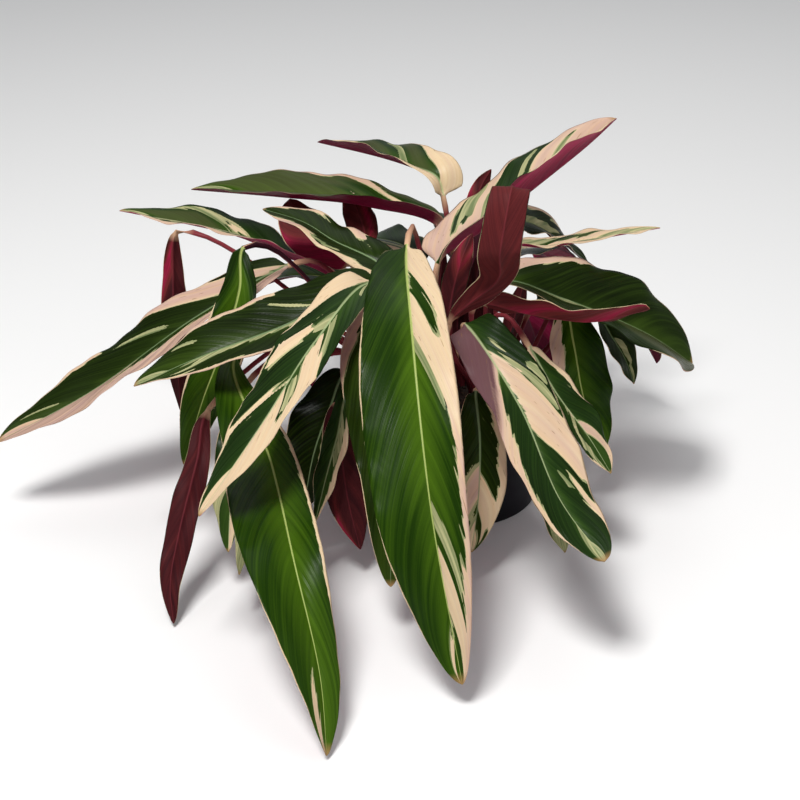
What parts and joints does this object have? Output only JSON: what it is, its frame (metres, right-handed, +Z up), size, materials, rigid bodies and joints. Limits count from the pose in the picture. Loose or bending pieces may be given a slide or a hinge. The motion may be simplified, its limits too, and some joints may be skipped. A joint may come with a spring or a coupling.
{
  "type": "potted variegated prayer plant",
  "caption": "Potted foliage plant with long lance-shaped variegated leaves, crimson beneath, arching from a nursery pot.",
  "frame": {"origin": "centre of the pot's base, on the surface that the pot stands on", "axes": "+Z up; -Y is the side that the plant is seen from, and +X is to the viewer's right"},
  "size_m": [0.4297, 0.4611, 0.2238],
  "materials": {
    "pot_plastic": "moulded, satin",
    "potting_mix": "loose damp bark and peat",
    "green_leaf": "waxy, satin, crimson underside",
    "dark_leaf": "waxy, satin, crimson underside",
    "cream_leaf": "waxy, satin, crimson underside",
    "crimson_leaf": "smooth, matt underside of the leaf"
  },
  "bodies": {
    "root": {"pot": "pot_plastic", "soil": "potting_mix", "leaf_front_centre": "green_leaf", "leaf_front_centre_under": "dark_leaf", "leaf_front_left_long": "green_leaf", "leaf_front_left_cream": "cream_leaf", "leaf_front_right_broad": "cream_leaf", "leaf_front_right_shaded": "dark_leaf", "leaf_front_left_narrow": "cream_leaf", "leaf_front_crimson": "crimson_leaf", "leaf_front_left_dark": "dark_leaf", "leaf_front_left_crimson": "crimson_leaf", "leaf_left_tip_a": "dark_leaf", "leaf_left_tip_b": "cream_leaf", "leaf_left_green": "dark_leaf", "leaf_left_long": "dark_leaf", "leaf_left_hanging": "green_leaf", "leaf_left_crimson": "crimson_leaf", "leaf_left_upper_dark": "dark_leaf", "leaf_back_left_long": "cream_leaf", "leaf_back_left_dark": "green_leaf", "leaf_back_crimson": "crimson_leaf", "leaf_top_crimson": "crimson_leaf", "leaf_top_small": "cream_leaf", "leaf_top_right_cream": "cream_leaf", "leaf_front_erect_crimson": "crimson_leaf", "leaf_centre_crimson": "crimson_leaf", "leaf_centre_back_crimson": "crimson_leaf", "leaf_right_broad": "dark_leaf", "leaf_right_crimson": "crimson_leaf", "leaf_right_thin": "cream_leaf", "leaf_right_back_dark": "dark_leaf", "leaf_right_hanging": "green_leaf", "leaf_right_small_dark": "dark_leaf", "leaf_right_variegated": "cream_leaf", "leaf_front_right_tip": "dark_leaf", "leaf_rear_1": "cream_leaf", "leaf_rear_2": "green_leaf", "leaf_rear_3": "cream_leaf", "leaf_rear_4": "green_leaf", "leaf_rear_5": "dark_leaf", "leaf_rear_6": "dark_leaf", "leaf_rear_7": "green_leaf", "leaf_rear_8": "cream_leaf"}
  },
  "joints": []
}
